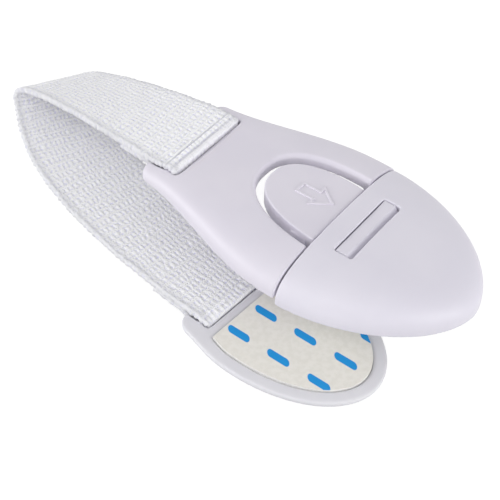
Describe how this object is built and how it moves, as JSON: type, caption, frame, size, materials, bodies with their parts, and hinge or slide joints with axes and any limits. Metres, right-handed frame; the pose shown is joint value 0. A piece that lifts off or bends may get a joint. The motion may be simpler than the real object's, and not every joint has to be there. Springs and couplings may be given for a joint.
{
  "type": "strap lock for a cabinet door",
  "caption": "Folded strap lock for cabinet doors: a stick-on anchor, a webbing strap, and an egg-shaped latch whose press tab frees a stick-on receiver that pulls off.",
  "frame": {"origin": "middle of the anchor's adhesive face, on the liner", "axes": "+Z out of the anchor's adhesive face, +X along the latch from the strap towards the nose, +Y towards the side where the folded latch lies"},
  "size_m": [0.1039, 0.0523, 0.0195],
  "materials": {
    "shell_plastic": "satin moulded white with a faint lilac cast",
    "webbing": "coarse white woven webbing",
    "foam": "white closed-cell adhesive foam",
    "release_liner": "cream release liner"
  },
  "bodies": {
    "strap_lower": {"strap_lower_run": "webbing"},
    "anchor": {"anchor_shell": "shell_plastic", "anchor_foam": "foam", "anchor_liner": "release_liner"},
    "strap_upper": {"strap_upper_run": "webbing"},
    "plug": {"plug_shell": "shell_plastic"},
    "tongue": {"press_tab": "shell_plastic", "tab_catch": "shell_plastic"},
    "receiver": {"receiver_cover": "shell_plastic", "receiver_base": "shell_plastic", "receiver_foam": "foam", "receiver_liner": "release_liner"}
  },
  "joints": [
    {"name": "anchor_swivel", "type": "hinge", "parent": "strap_lower", "child": "anchor", "pos_m": [-0.01516, 0.00106, -0.00175], "axis": [0.0698, 0.9976, 0], "range_deg": [0, 80]},
    {"name": "strap_fold", "type": "hinge", "parent": "strap_lower", "child": "strap_upper", "pos_m": [-0.07619, 0.01515, 0.00684], "axis": [-0.1212, -0.934, 0.3362], "range_deg": [0, 140]},
    {"name": "plug_swivel", "type": "hinge", "parent": "strap_upper", "child": "plug", "pos_m": [-0.0371, 0.0175, 0.0123], "axis": [0, -1, 0], "range_deg": [0, 80]},
    {"name": "tongue_press", "type": "hinge", "parent": "plug", "child": "tongue", "pos_m": [0.0142, 0.0175, 0.01055], "axis": [0, -1, 0], "range_deg": [0, 6.2], "stiffness_Nm_per_rad": 2},
    {"name": "release_slide", "type": "slide", "parent": "plug", "child": "receiver", "axis": [1, 0, 0], "range_m": [0, 0.024], "deforming": ["tab_catch"]}
  ]
}
